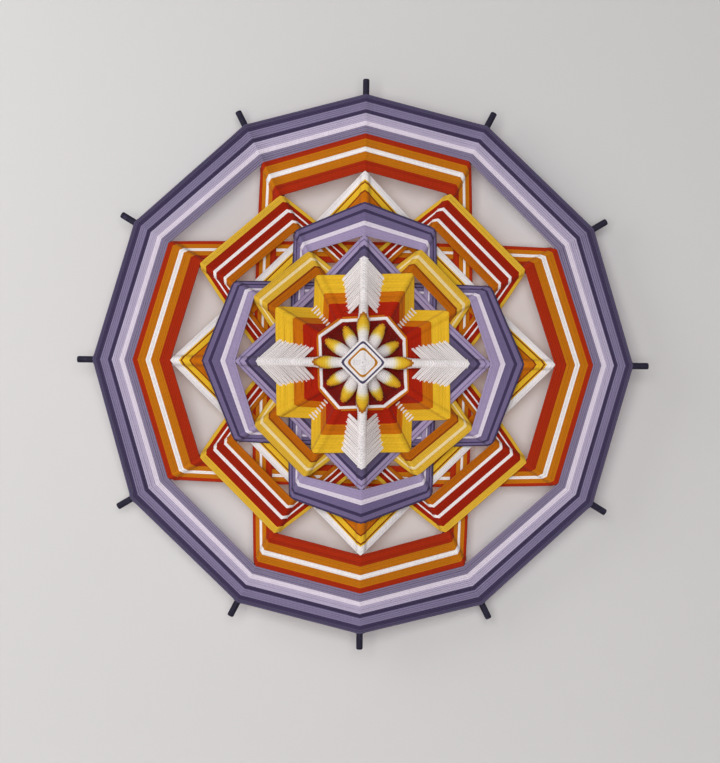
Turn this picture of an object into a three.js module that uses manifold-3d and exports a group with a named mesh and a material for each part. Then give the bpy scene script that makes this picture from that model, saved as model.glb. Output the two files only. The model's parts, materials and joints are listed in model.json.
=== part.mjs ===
// Ojo de dios: a twelve-spoke mandala of yarn bands wound on six crossed dowels.
// Millimetres. It hangs upright with its hub at the origin and its face towards -Y.
import * as THREE from 'three';
import { mergeVertices } from 'three/addons/utils/BufferGeometryUtils.js';
import Module from 'manifold-3d';

const wasm = await Module();
wasm.setup();

// Driving dimensions: the dowels
const SPAN = 610; // tip to tip
const DOWEL_D = 7;
const TIP_ROUND = 1.8; // rounding of a dowel's end
const DOWEL_SIDES = 10;
const UPRIGHT_LEAN = 27; // degrees between the upright dowel and its neighbours
const LEVEL_LEAN = 31; // degrees between the level dowel and its neighbours

// Driving dimensions: the yarn
const WRAP = 1.5; // thickness of the yarn wrapped round a dowel
const SHEET = 1.4; // thickness of a band between two spokes
const FRONT_ROOT = 2.7; // thickness of a band where it leaves the front of a spoke
const ROOT_FLARE = 0.65; // how far the yarn stands off a wrap where a run leaves it
const FRONT_FLAT = 5.3; // width of the flat on the front of a wrap
const REAR_FLAT = 7; // the same on its rear
const SIDE_ROOT = 1.3; // depth in front of the dowel's axis where a run leaves a wrap's side
const REAR_ROOT = -1.5; // the same for a run that leaves towards the rear
const HUB_LASHING = 1.1; // yarn between two crosses at the hub
const CLEARANCE = 0.3; // between a wrap and its dowel, or two halves of a lap joint
const SEAM = 0.35; // between neighbouring bands on a spoke
const STACK_GAP = 0.4; // between a band and whatever it passes behind
const LONG_BOW = 0.0175; // outward bow of a long side, as a share of its radius
const BOX_BOW = 0.064; // the same for the boxes' long sides
const STAR_BOW = { upright: -0.12, level: 0 }; // the same for the star, whose halves pass each other
const SMALL_DIAMOND_BOW = -0.055; // the same for the small diamond's sides

// Driving dimensions: eye, petals and feathers
const EYE_START = 9.5; // radius where the eye's first ring begins
const EYE_CORE = 8.6; // half diagonal of the plate at the eye's centre
const PETAL_R = 6.2; // fattest radius of a petal winding
const PETAL_TAPER = 7; // length of a petal's rounded tip
const PETAL_WALL = 0.6; // yarn on the dowel at a petal's ends
const PETAL_SIDES = 8;
const FRONT_PETAL_END = 55.5;
const MIDDLE_PETAL_END = 47.3;
const BACK_PETAL_END = 46;
const FEATHER_LENGTH = 59;
const FEATHER_NECK = 17; // plain wrap below the first barb
const BARB_REACH = 20.5; // how far a barb stands out from its spoke, seen from the front
const BARB_DEPTH = 3.2; // depth of the saw edge
const BARBS = 9;
const WING_FALL = 33; // degrees by which the barbs fall away from the spoke
const WING_T = 1.4;

const WHITE = 0xe6dfe0;
const YELLOW = 0xdcb22e;
const ORANGE = 0xb8680f;
const RED = 0x9c1f12;
const DARK_RED = 0x5e1410;
const SLATE = 0x5a4f7d;
const INDIGO = 0x352b52;
const PURPLE = 0x6a5f93;
const LAVENDER = 0xa294bd;
const LILAC = 0xd2c8da;
const PAINT = 0x2b2836;

// A winding lists its spokes, numbered as the hours of a clock with 0 at the top, and its
// colour bands from the inside out as [name, colour, width along the spoke].
const FRONT = [0, 3, 6, 9];
const OCTAGON = [1, 2, 4, 5, 7, 8, 10, 11];
const ALL = [0, 1, 2, 3, 4, 5, 6, 7, 8, 9, 10, 11];
const HEXAGONS = { upright: [0, 1, 5, 6, 7, 11], level: [2, 3, 4, 8, 9, 10] };
const BOXES = { rising: [1, 2, 7, 8], falling: [4, 5, 10, 11] };
const STARS = { upright: [1, 5, 7, 11], level: [2, 4, 8, 10] };

const EYE = [['rim', WHITE, 15]];
const THROAT = [['red', DARK_RED, 4.4], ['white', WHITE, 5.4]];
const STAR = [['red', RED, 17.5], ['orange', ORANGE, 13], ['yellow', YELLOW, 20.5]];
const SMALL_DIAMOND = [['slate', SLATE, 11.3], ['lavender', LAVENDER, 10.2]];
const SMALL_BOX = [['orange', ORANGE, 9.6], ['yellow', YELLOW, 16.8]];
const SMALL_HEXAGON = [['lavender', LAVENDER, 14.3], ['slate', SLATE, 21.6]];
const LARGE_BOX = [['orange', ORANGE, 11.8], ['red', RED, 23.4], ['yellow', YELLOW, 6]];
const LARGE_DIAMOND = [['orange', ORANGE, 14.5], ['yellow', YELLOW, 8.1], ['white', WHITE, 10.6]];
const LARGE_HEXAGON = [
  ['inner_red', RED, 11.8], ['inner_orange', ORANGE, 9.1], ['white', WHITE, 5.4],
  ['outer_orange', ORANGE, 8.6], ['outer_red', RED, 5.4],
];
const RIM = [
  ['purple_grey', PURPLE, 8.2], ['lilac', LILAC, 4.8], ['lavender', LAVENDER, 7.6],
  ['purple', PURPLE, 11.6], ['indigo', INDIGO, 7.5],
];
const SMALL_HEXAGON_PINCH = 0.74; // how much closer its bands lie on the spokes at its corners
const RIM_R = 288; // outer radius of the rim
const THROAT_APRON = 9; // how far the dark red of the throat reaches in between two spokes

// Values that follow from the dimensions
const DOWEL_R = DOWEL_D / 2;
const PITCH = DOWEL_D + 2 * (CLEARANCE + HUB_LASHING) + CLEARANCE; // depth from cross to cross
const BORE = DOWEL_R + CLEARANCE; // a wrap's flats lie this far from the dowel's axis
const SLEEVE = BORE + WRAP;
const ROOT = SLEEVE + ROOT_FLARE; // distance from a dowel's axis to the root of a run
const SPOKES = 12;
const QUARTER = Math.PI / 2;

const halfTurn = [0, UPRIGHT_LEAN, 90 - LEVEL_LEAN, 90, 90 + LEVEL_LEAN, 180 - UPRIGHT_LEAN];
const spokeAngles = [...halfTurn, ...halfTurn.map((angle) => angle + 180)]
  .map((angle) => THREE.MathUtils.degToRad(angle));
const levelOf = (spoke) => (1 - (spoke % 3)) * PITCH;

// A point given on a spoke: radius along it, distance to its clockwise side, depth from its axis
function onSpoke(spoke, radius, side, depth) {
  const sin = Math.sin(spokeAngles[spoke]);
  const cos = Math.cos(spokeAngles[spoke]);
  return new THREE.Vector3(
    radius * sin + side * cos, radius * cos - side * sin, levelOf(spoke) + depth);
}

const mandala = new THREE.Group();
mandala.rotation.x = QUARTER;

function addMesh(name, geometry, colour, roughness = 0.9) {
  const material = new THREE.MeshStandardMaterial({ color: colour, roughness, metalness: 0 });
  const mesh = new THREE.Mesh(geometry, material);
  mesh.name = name;
  mandala.add(mesh);
  return mesh;
}

// Solids for joining and cutting
function toSolid(geometry) {
  const bare = geometry.clone();
  bare.deleteAttribute('normal');
  bare.deleteAttribute('uv');
  const merged = mergeVertices(bare, 1e-4);
  return new wasm.Manifold(new wasm.Mesh({
    numProp: 3,
    vertProperties: new Float32Array(merged.attributes.position.array),
    triVerts: new Uint32Array(merged.index.array),
  }));
}

function toGeometry(solid) {
  const mesh = solid.getMesh();
  const geometry = new THREE.BufferGeometry();
  const positions = new Float32Array(mesh.vertProperties);
  geometry.setAttribute('position', new THREE.BufferAttribute(positions, 3));
  geometry.setIndex(new THREE.BufferAttribute(new Uint32Array(mesh.triVerts), 1));
  return geometry;
}

// Turns a geometry made along +Y with its face to +Z so that it lies on a spoke
function laidOnSpoke(geometry, spoke) {
  return geometry.rotateZ(-spokeAngles[spoke]).translate(0, 0, levelOf(spoke));
}

// Dowels: three crosses, each of two dowels half-lapped into each other at the hub

function dowelSolid(spoke) {
  const end = SPAN / 2;
  const shoulder = TIP_ROUND * (1 - Math.SQRT1_2);
  const tip = [
    [0, end], [DOWEL_R - TIP_ROUND, end], [DOWEL_R - shoulder, end - shoulder],
    [DOWEL_R, end - TIP_ROUND],
  ];
  const profile = tip.concat(tip.map(([r, y]) => [r, -y]).reverse()).reverse();
  const points = profile.map(([r, y]) => new THREE.Vector2(r, y));
  return toSolid(laidOnSpoke(new THREE.LatheGeometry(points, DOWEL_SIDES), spoke));
}

// The half of the hub on one face of a cross, in the shape of the dowel that passes there
function lapSpace(spoke, face) {
  const width = DOWEL_D + 2 * CLEARANCE;
  const box = new THREE.BoxGeometry(width, SPAN, DOWEL_D);
  box.translate(0, 0, face * (DOWEL_R - CLEARANCE / 2));
  return toSolid(laidOnSpoke(box, spoke));
}

function addDowels() {
  const crosses = { front: [0, 3], middle: [1, 4], back: [2, 5] };
  for (const [place, [first, second]] of Object.entries(crosses)) {
    const lapped = dowelSolid(first).subtract(lapSpace(second, 1));
    const lapping = dowelSolid(second).subtract(lapSpace(first, -1));
    addMesh(`dowel_${place}_a`, toGeometry(lapped), PAINT, 0.55);
    addMesh(`dowel_${place}_b`, toGeometry(lapping), PAINT, 0.55);
  }
}

// A skin of quads and triangles that closes into one solid
class Skin {
  constructor() {
    this.positions = [];
    this.index = [];
  }

  point(v) {
    this.positions.push(v.x, v.y, v.z);
    return this.positions.length / 3 - 1;
  }

  quad(a, b, c, d) {
    this.index.push(a, b, c, a, c, d);
  }

  triangle(a, b, c) {
    this.index.push(a, b, c);
  }

  geometry() {
    const geometry = new THREE.BufferGeometry();
    geometry.setAttribute('position', new THREE.Float32BufferAttribute(this.positions, 3));
    geometry.setIndex(this.index);
    return geometry;
  }
}

// Windings. A band is a sleeve round each of its spokes, joined by runs from spoke to spoke.

// Where a run leaves its sleeve: from the front to a neighbouring spoke, from the side to pass
// behind one spoke, and from the rear to pass behind more
const ROOT_TOP = { front: SLEEVE, side: SIDE_ROOT, rear: REAR_ROOT };

function rootOf(skipped, over) {
  if (skipped === 0 || over) return 'front';
  return skipped === 1 ? 'side' : 'rear';
}

// One side of a sleeve's outline, from the front to the rear, as [side, depth] on the clockwise side
function sleeveSide(root) {
  const front = [FRONT_FLAT / 2, SLEEVE];
  const rear = [REAR_FLAT / 2, -SLEEVE];
  const top = ROOT_TOP[root];
  if (root === 'front') return [front, [ROOT, top - FRONT_ROOT], rear];
  return [front, [ROOT, top], [ROOT, top - SHEET], rear];
}

// The outline of a sleeve, clockwise as seen from the hub, and the edges where its runs start
function sleeveOutline(leftRoot, rightRoot) {
  const right = sleeveSide(rightRoot);
  const left = sleeveSide(leftRoot).map(([side, depth]) => [-side, depth]).reverse();
  const rightEdge = rightRoot === 'front' ? 0 : 1;
  const leftEdge = right.length + 1;
  return { points: right.concat(left), rightEdge, leftEdge };
}

// A six-sided hole round the dowel, clockwise as seen from the hub
const boreOutline = ALL.slice(0, 6).map((i) => {
  const angle = QUARTER - (i * Math.PI) / 3;
  const radius = BORE / Math.cos(Math.PI / 6);
  return [radius * Math.cos(angle), radius * Math.sin(angle)];
});

// Closes the ring between an outline and its hole, both clockwise from the front
function zipRing(skin, outer, inner, outerPoints, innerPoints, flip) {
  const turn = ([side, depth]) => (Math.atan2(side, depth) + 2 * Math.PI) % (2 * Math.PI);
  const startOuter = outerPoints.map(turn).indexOf(Math.min(...outerPoints.map(turn)));
  const startInner = innerPoints.map(turn).indexOf(Math.min(...innerPoints.map(turn)));
  const triangle = (a, b, c) => (flip ? skin.triangle(a, c, b) : skin.triangle(a, b, c));
  let i = 0;
  let j = 0;
  const at = (list, start, n) => list[(start + n) % list.length];
  const angleAt = (points, start, n) => {
    const lap = n >= points.length ? 2 * Math.PI : 0;
    return turn(at(points, start, n)) + lap;
  };
  while (i < outer.length || j < inner.length) {
    const nextOuter = i < outer.length ? angleAt(outerPoints, startOuter, i + 1) : Infinity;
    const nextInner = j < inner.length ? angleAt(innerPoints, startInner, j + 1) : Infinity;
    if (nextOuter <= nextInner) {
      triangle(at(outer, startOuter, i), at(outer, startOuter, i + 1), at(inner, startInner, j));
      i += 1;
    } else {
      triangle(at(outer, startOuter, i), at(inner, startInner, j + 1), at(inner, startInner, j));
      j += 1;
    }
  }
}

// A sleeve from one radius to another; returns the corners where its two runs are joined
function addSleeve(skin, spoke, inner, outer, outline) {
  const place = (radius, points) => points
    .map(([side, depth]) => skin.point(onSpoke(spoke, radius, side, depth)));
  const near = place(inner, outline.points);
  const far = place(outer, outline.points);
  const nearBore = place(inner, boreOutline);
  const farBore = place(outer, boreOutline);
  const next = (i, list) => (i + 1) % list.length;
  near.forEach((_, i) => {
    const j = next(i, near);
    const joined = i === outline.leftEdge || i === outline.rightEdge;
    if (!joined) skin.quad(near[i], near[j], far[j], far[i]);
  });
  nearBore.forEach((_, i) => {
    const j = next(i, nearBore);
    skin.quad(nearBore[i], farBore[i], farBore[j], nearBore[j]);
  });
  zipRing(skin, far, farBore, outline.points, boreOutline, false);
  zipRing(skin, near, nearBore, outline.points, boreOutline, true);
  const corners = (top, bottom) => ({
    topIn: near[top], bottomIn: near[bottom], topOut: far[top], bottomOut: far[bottom],
  });
  const rightNext = next(outline.rightEdge, near);
  const leftNext = next(outline.leftEdge, near);
  return { right: corners(outline.rightEdge, rightNext), left: corners(leftNext, outline.leftEdge) };
}

// A stretch of a run between two sets of corners
function addStretch(skin, a, b) {
  skin.quad(a.topIn, b.topIn, b.topOut, a.topOut);
  skin.quad(a.bottomIn, a.bottomOut, b.bottomOut, b.bottomIn);
  skin.quad(a.topOut, b.topOut, b.bottomOut, a.bottomOut);
  skin.quad(a.topIn, a.bottomIn, b.bottomIn, b.topIn);
}

// The plan point at a fraction of the way along a run's edge, which bows outwards
function alongRun(run, fraction, startRadius, endRadius, bow) {
  const start = onSpoke(run.from, startRadius, ROOT, 0);
  const end = onSpoke(run.to, endRadius, -ROOT, 0);
  const outward = new THREE.Vector3(start.y - end.y, end.x - start.x, 0).normalize();
  const swell = bow * 4 * fraction * (1 - fraction);
  return start.lerp(end, fraction).addScaledVector(outward, swell).setZ(0);
}

// What has been wound so far, as the depth of its underside on a square grid in plan
const CELL = 2;
const GRID_HALF = Math.ceil(SPAN / 2 / CELL) + 2;
const GRID_SIDE = 2 * GRID_HALF + 1;
const underside = new Float32Array(GRID_SIDE * GRID_SIDE).fill(Infinity);
const rowOf = (length) => Math.round(length / CELL) + GRID_HALF;
const cellOf = (x, y) => rowOf(y) * GRID_SIDE + rowOf(x);

function cover(p, depth) {
  const cell = cellOf(p.x, p.y);
  underside[cell] = Math.min(underside[cell], depth);
}

// The rear of the wrapped spokes over a point in plan, leaving out a run's own two spokes
function spokeRear(run, p) {
  let lowest = Infinity;
  for (const spoke of ALL) {
    const along = p.x * Math.sin(spokeAngles[spoke]) + p.y * Math.cos(spokeAngles[spoke]);
    const aside = p.x * Math.cos(spokeAngles[spoke]) - p.y * Math.sin(spokeAngles[spoke]);
    const wrapped = along < FRONT_PETAL_END ? Math.max(SLEEVE, PETAL_R) : SLEEVE;
    const own = spoke === run.from || spoke === run.to;
    if (!own && along > 0 && Math.abs(aside) < wrapped + CELL) {
      lowest = Math.min(lowest, levelOf(spoke) - wrapped);
    }
  }
  return lowest;
}

// The lowest thing over a point in plan that a run has to pass behind
function ceilingAt(run, p) {
  let lowest = spokeRear(run, p);
  for (const dx of [-CELL, 0, CELL]) {
    for (const dy of [-CELL, 0, CELL]) {
      lowest = Math.min(lowest, underside[cellOf(p.x + dx, p.y + dy)]);
    }
  }
  return lowest;
}

// The taut line below a set of [fraction, depth] points: their lower hull
function tautLine(points) {
  const hull = [];
  for (const p of points) {
    while (hull.length > 1) {
      const [a, b] = hull.slice(-2);
      const bend = (b[0] - a[0]) * (p[1] - a[1]) - (b[1] - a[1]) * (p[0] - a[0]);
      if (bend > 0) break;
      hull.pop();
    }
    hull.push(p);
  }
  return hull;
}

// Replaces a short facet of a taut line by the corner where its neighbours would meet below it
function withoutShortFacets(hull, shortest) {
  for (let i = 1; i + 2 < hull.length; i += 1) {
    const [a, b, c, d] = hull.slice(i - 1, i + 3);
    if (c[0] - b[0] < shortest) {
      const before = (b[1] - a[1]) / (b[0] - a[0]);
      const after = (d[1] - c[1]) / (d[0] - c[0]);
      const fraction = (c[1] - b[1] + before * b[0] - after * c[0]) / (before - after);
      const corner = [fraction, b[1] + before * (fraction - b[0])];
      return withoutShortFacets([...hull.slice(0, i), corner, ...hull.slice(i + 2)], shortest);
    }
  }
  return hull;
}

// Pulls a run tight behind everything wound before it; returns its [fraction, depth] stations
const RUN_SAMPLES = 120;
const ACROSS_SAMPLES = 12;
const SHORT_FACET = 0.16; // as a fraction of the run

function pullTight(run) {
  const startDepth = levelOf(run.from) + ROOT_TOP[run.root] - SHEET / 2;
  const endDepth = levelOf(run.to) + ROOT_TOP[run.root] - SHEET / 2;
  const points = [[0, startDepth]];
  const inset = CELL / run.plan(0, 0).distanceTo(run.plan(0, 1));
  for (let i = 1; i < RUN_SAMPLES && run.root !== 'front'; i += 1) {
    const fraction = i / RUN_SAMPLES;
    let ceiling = Infinity;
    for (let j = 0; j <= ACROSS_SAMPLES; j += 1) {
      const across = inset + (1 - 2 * inset) * (j / ACROSS_SAMPLES);
      ceiling = Math.min(ceiling, ceilingAt(run, run.plan(fraction, across)));
    }
    if (ceiling < Infinity) points.push([fraction, ceiling - STACK_GAP - SHEET / 2]);
  }
  points.push([1, endDepth]);
  return withoutShortFacets(tautLine(points), SHORT_FACET);
}

function depthAt(stations, fraction) {
  const i = Math.max(1, stations.findIndex(([f]) => f >= fraction));
  const [f0, d0] = stations[i - 1];
  const [f1, d1] = stations[i];
  return d0 + ((d1 - d0) * (fraction - f0)) / (f1 - f0);
}

// Adds stations to a run that curves in plan, so that none lie far apart
const LONGEST_FACET = 0.5; // as a fraction of the run

function withMoreStations(stations) {
  return stations.flatMap(([fraction, depth], i) => {
    if (i === 0) return [[fraction, depth]];
    const [before] = stations[i - 1];
    const pieces = Math.ceil((fraction - before) / LONGEST_FACET);
    return Array.from({ length: pieces }, (_, n) => {
      const f = before + ((fraction - before) * (n + 1)) / pieces;
      return [f, depthAt(stations, f)];
    });
  });
}

function coverRun(run) {
  const length = run.plan(0, 1).distanceTo(run.plan(1, 1));
  const steps = Math.ceil((2 * length) / CELL);
  for (let i = 0; i <= steps; i += 1) {
    const fraction = i / steps;
    const depth = depthAt(run.stations, fraction) - SHEET / 2;
    const across = Math.ceil((2 * run.plan(fraction, 0).distanceTo(run.plan(fraction, 1))) / CELL);
    for (let j = 0; j <= across; j += 1) {
      cover(run.plan(fraction, j / across), depth);
    }
  }
}

// The radius to which each spoke has been filled so far
const filled = ALL.map(() => EYE_START);

// Winds all the bands of one winding and moves its spokes' filled radius outwards
function wind(name, spokes, bands, { bow = 0, over = false, pinch = 1, outer = null, apron = 0 } = {}) {
  const total = bands.reduce((sum, [, , width]) => sum + width, 0);
  const scale = {};
  for (const spoke of spokes) {
    scale[spoke] = spoke % 3 === 0 ? 1 : pinch;
    if (outer) scale[spoke] = (outer - filled[spoke]) / total;
  }
  const radius = (spoke, offset) => filled[spoke] + offset * scale[spoke];
  const runs = spokes.map((from, i) => {
    const to = spokes[(i + 1) % spokes.length];
    const skipped = (to - from + SPOKES - 1) % SPOKES;
    const root = rootOf(skipped, over);
    const bowed = skipped > 1 && !over ? bow : 0;
    const run = { from, to, root };
    run.edge = (fraction, offset, dip = 0) => alongRun(run, fraction, radius(from, offset),
      radius(to, offset), bowed * radius(from, offset) - dip);
    run.plan = (fraction, across) => run.edge(fraction, across * total, (1 - across) * apron);
    const taut = pullTight(run);
    run.stations = bowed || apron ? withMoreStations(taut) : taut;
    return run;
  });

  let offset = 0;
  bands.forEach(([bandName, colour, width], n) => {
    const skin = new Skin();
    const start = offset + (n > 0 ? SEAM / 2 : SEAM);
    const end = offset + width - SEAM / 2;
    const sleeves = spokes.map((spoke, i) => {
      const before = runs[(i + spokes.length - 1) % spokes.length];
      const outline = sleeveOutline(before.root, runs[i].root);
      return addSleeve(skin, spoke, radius(spoke, start), radius(spoke, end), outline);
    });
    runs.forEach((run, i) => {
      const corners = run.stations.slice(1, -1).map(([fraction, depth]) => {
        const inPoint = run.edge(fraction, start, n === 0 ? apron : 0);
        const outPoint = run.edge(fraction, end);
        const at = (p, lift) => skin.point(p.clone().setZ(depth + lift));
        return {
          topIn: at(inPoint, SHEET / 2), bottomIn: at(inPoint, -SHEET / 2),
          topOut: at(outPoint, SHEET / 2), bottomOut: at(outPoint, -SHEET / 2),
        };
      });
      const chain = [sleeves[i].right, ...corners, sleeves[(i + 1) % spokes.length].left];
      chain.slice(1).forEach((next, c) => addStretch(skin, chain[c], next));
    });
    addMesh(`${name}_${bandName}`, skin.geometry(), colour);
    offset += width;
  });

  if (!over) runs.forEach(coverRun);
  for (const spoke of spokes) filled[spoke] = radius(spoke, total);
}

// Eye: a plate over the front hub inside its rings

function addEyeCore() {
  const outline = new THREE.Shape([[0, 1], [-1, 0], [0, -1], [1, 0]]
    .map(([x, y]) => new THREE.Vector2(x * EYE_CORE, y * EYE_CORE)));
  const plate = new THREE.ExtrudeGeometry(outline, { depth: SHEET, bevelEnabled: false });
  plate.translate(0, 0, PITCH + BORE);
  addMesh('eye_core', plate, WHITE);
}

// Petals: spindle windings near the hub

function petalProfile(start, end) {
  const rise = (end - start) / 3;
  const thin = BORE + PETAL_WALL;
  const swell = (share) => thin + share * (PETAL_R - thin);
  return [
    [thin, start], [swell(1 / 3), start + rise / 2], [PETAL_R, start + rise],
    [PETAL_R, end - PETAL_TAPER], [swell(1 / 2), end - PETAL_TAPER / 3], [thin, end],
  ];
}

function frontPetal(spoke, start, end) {
  const bore = BORE / Math.cos(Math.PI / PETAL_SIDES);
  const ring = [[bore, start], ...petalProfile(start, end), [bore, end], [bore, start]];
  const profile = ring.map(([r, y]) => new THREE.Vector2(r, y));
  return laidOnSpoke(new THREE.LatheGeometry(profile, PETAL_SIDES), spoke);
}

// The four petals of a cross behind, joined by the yarn that lashes its hub
function joinedPetals(spokes, end) {
  const lashing = BORE + HUB_LASHING;
  const start = 2 * lashing;
  const whole = spokes.map((spoke) => {
    const outside = [[0, 0], [lashing, 0], [lashing, start], ...petalProfile(start, end).slice(1)];
    const profile = [...outside, [0, end]].map(([r, y]) => new THREE.Vector2(r, y));
    return toSolid(laidOnSpoke(new THREE.LatheGeometry(profile, PETAL_SIDES), spoke));
  }).reduce((sum, solid) => sum.add(solid));
  return spokes.slice(0, 2).reduce((solid, spoke) => {
    const bore = new THREE.CylinderGeometry(BORE, BORE, SPAN, DOWEL_SIDES);
    return solid.subtract(toSolid(laidOnSpoke(bore, spoke)));
  }, whole);
}

function addPetals() {
  for (const spoke of FRONT) {
    const petal = frontPetal(spoke, filled[spoke] + SEAM, FRONT_PETAL_END);
    addMesh(`petal_${spoke || SPOKES}`, petal, YELLOW);
    filled[spoke] = FRONT_PETAL_END;
  }
  addMesh('petals_middle', toGeometry(joinedPetals([1, 4, 7, 10], MIDDLE_PETAL_END)), YELLOW);
  addMesh('petals_back', toGeometry(joinedPetals([2, 5, 8, 11], BACK_PETAL_END)), YELLOW);
  for (const spoke of [1, 4, 7, 10]) filled[spoke] = MIDDLE_PETAL_END;
  for (const spoke of [2, 5, 8, 11]) filled[spoke] = BACK_PETAL_END;
}

// Feathers: white yarn on the front spokes, with barbs that fall away to both sides

function wingShape(start, end) {
  const lowest = start + FEATHER_NECK;
  const points = [[0, lowest]];
  const pitch = (end - lowest) / BARBS;
  for (let i = 0; i < BARBS; i += 1) {
    const tip = lowest + i * pitch - BARB_REACH;
    points.push([BARB_REACH, tip], [BARB_REACH - BARB_DEPTH, tip + BARB_DEPTH + pitch]);
  }
  points.push([0, end]);
  return new THREE.Shape(points.map(([x, y]) => new THREE.Vector2(x, y)));
}

function featherSolid(start, end) {
  const outline = new THREE.Shape(sleeveOutline('front', 'front').points
    .map(([side, depth]) => new THREE.Vector2(side, depth)));
  const sleeve = new THREE.ExtrudeGeometry(outline, { depth: end - start, bevelEnabled: false });
  sleeve.rotateX(QUARTER).rotateZ(2 * QUARTER).translate(0, start, 0);
  const bore = new THREE.CylinderGeometry(BORE, BORE, SPAN, DOWEL_SIDES);
  const wing = new THREE.ExtrudeGeometry(wingShape(start, end), { depth: WING_T, bevelEnabled: false });
  const fall = THREE.MathUtils.degToRad(WING_FALL);
  wing.scale(1 / Math.cos(fall), 1, 1).rotateY(fall).translate(0, 0, SLEEVE);
  const right = toSolid(wing);
  const left = right.mirror([1, 0, 0]);
  return toSolid(sleeve).add(right).add(left).subtract(toSolid(bore));
}

function addFeathers() {
  for (const spoke of FRONT) {
    const start = filled[spoke] + SEAM;
    const feather = toGeometry(featherSolid(start, filled[spoke] + FEATHER_LENGTH - SEAM));
    addMesh(`feather_${spoke || SPOKES}`, laidOnSpoke(feather, spoke), WHITE);
    filled[spoke] += FEATHER_LENGTH;
  }
}

// The mandala, wound from the hub outwards: each winding passes behind the ones before it
addDowels();
addEyeCore();
wind('eye', FRONT, EYE, { over: true });
addPetals();
wind('throat', OCTAGON, THROAT, { apron: THROAT_APRON });
for (const [way, spokes] of Object.entries(STARS)) {
  wind(`star_${way}`, spokes, STAR, { bow: STAR_BOW[way] });
}
addFeathers();
wind('small_diamond', FRONT, SMALL_DIAMOND, { bow: SMALL_DIAMOND_BOW });
for (const [way, spokes] of Object.entries(BOXES)) {
  wind(`small_box_${way}`, spokes, SMALL_BOX, { bow: BOX_BOW });
}
for (const [way, spokes] of Object.entries(HEXAGONS)) {
  wind(`small_hexagon_${way}`, spokes, SMALL_HEXAGON, { bow: LONG_BOW, pinch: SMALL_HEXAGON_PINCH });
}
for (const [way, spokes] of Object.entries(BOXES)) {
  wind(`large_box_${way}`, spokes, LARGE_BOX, { bow: BOX_BOW });
}
wind('large_diamond', FRONT, LARGE_DIAMOND);
for (const [way, spokes] of Object.entries(HEXAGONS)) {
  wind(`large_hexagon_${way}`, spokes, LARGE_HEXAGON, { bow: LONG_BOW });
}
wind('rim', ALL, RIM, { outer: RIM_R });

export default mandala;
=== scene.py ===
"""Ojo de dios: a twelve-spoke yarn mandala, wound strand by strand on six crossed dowels.

Lengths are millimetres until a mesh is made. A point is (u, v, w): right, up and towards the viewer,
which is (X, Z, -Y) of the frame. Spokes are numbered as the hours of a clock, with 0 at the top.
"""

import json
import math

import bmesh
import bpy
import numpy as np
from mathutils import Matrix, Vector


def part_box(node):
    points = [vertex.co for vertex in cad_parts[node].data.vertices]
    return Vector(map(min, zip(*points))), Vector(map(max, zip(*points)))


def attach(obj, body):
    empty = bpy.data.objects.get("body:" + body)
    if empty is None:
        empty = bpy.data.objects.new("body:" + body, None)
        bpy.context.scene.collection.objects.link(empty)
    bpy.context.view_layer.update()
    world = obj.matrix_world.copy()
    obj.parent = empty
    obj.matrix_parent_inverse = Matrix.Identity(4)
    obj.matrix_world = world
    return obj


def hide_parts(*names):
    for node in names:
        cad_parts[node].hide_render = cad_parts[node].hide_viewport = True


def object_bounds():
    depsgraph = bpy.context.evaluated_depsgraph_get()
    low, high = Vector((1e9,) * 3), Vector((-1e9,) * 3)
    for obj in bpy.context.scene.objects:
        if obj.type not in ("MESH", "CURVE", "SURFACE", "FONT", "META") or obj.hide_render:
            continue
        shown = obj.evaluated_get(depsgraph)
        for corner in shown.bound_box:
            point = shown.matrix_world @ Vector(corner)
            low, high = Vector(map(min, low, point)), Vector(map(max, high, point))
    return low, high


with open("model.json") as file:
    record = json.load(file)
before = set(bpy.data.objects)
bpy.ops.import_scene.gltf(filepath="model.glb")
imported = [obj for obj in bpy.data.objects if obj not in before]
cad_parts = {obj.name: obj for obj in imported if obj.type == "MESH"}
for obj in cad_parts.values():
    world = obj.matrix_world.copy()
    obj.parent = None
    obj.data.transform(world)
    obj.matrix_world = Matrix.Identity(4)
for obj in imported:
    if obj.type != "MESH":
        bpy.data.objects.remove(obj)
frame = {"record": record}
cad_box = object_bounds()

SEED = 12
chance = np.random.default_rng(SEED)  # of the small differences between strands
MM = 0.001

# The dowels, from the frame: their reach, and the depth of each of the three crosses
CROSSES = ("front", "middle", "back")
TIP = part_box("dowel_front_a")[1][2] / MM
CROSS_BOXES = [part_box(f"dowel_{name}_a") for name in CROSSES]
CROSS_DEPTH = [-(low[1] + high[1]) / 2 / MM for low, high in CROSS_BOXES]
DOWEL_R = 3.5
DOWEL_SIDES = 20
TIP_ROUND = 1.8
TIP_RINGS = 5
LAP_CLEARANCE = 0.3
SPOKE_DEGREES = np.array([0, 27, 59, 90, 121, 153, 180, 207, 239, 270, 301, 333])
SPOKES = np.arange(12)
SIN = np.sin(np.radians(SPOKE_DEGREES))
COS = np.cos(np.radians(SPOKE_DEGREES))
LEVEL = np.array(CROSS_DEPTH)[SPOKES % 3]

# The yarn
YARN_R = 0.92
STRAND_SIDES = 6
RING = DOWEL_R + YARN_R  # radius at which a strand's middle goes round a dowel
WRAPPED = DOWEL_R + 2 * YARN_R  # radius of a dowel with its yarn
ROOT_DEGREES = {"front": 68, "side": 22, "rear": -8}  # where a run leaves the ring round its dowel
STATIONS = {"front": 9, "side": 25, "rear": 61}  # points along a run
SAMPLE = 0.6  # step at which a run looks for what it passes behind
STEEPEST = 0.8  # how far a run goes along a dowel for each step across it
CREASED = 30.0  # rounds smaller than this have rounder corners
ARC_POINTS = 4  # from the front of a dowel to where a run leaves it
REAR_ARC_POINTS = 7  # from there round the rear of the dowel
COIL_POINTS = 12  # in each turn of a coil
LEAST_MITRE = 0.6  # keeps the strand from growing too thick at its sharpest corners
LOOK_ACROSS = (-0.4, 0, 0.4)  # places across a strand, as shares of its radius, that pass behind
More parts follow.
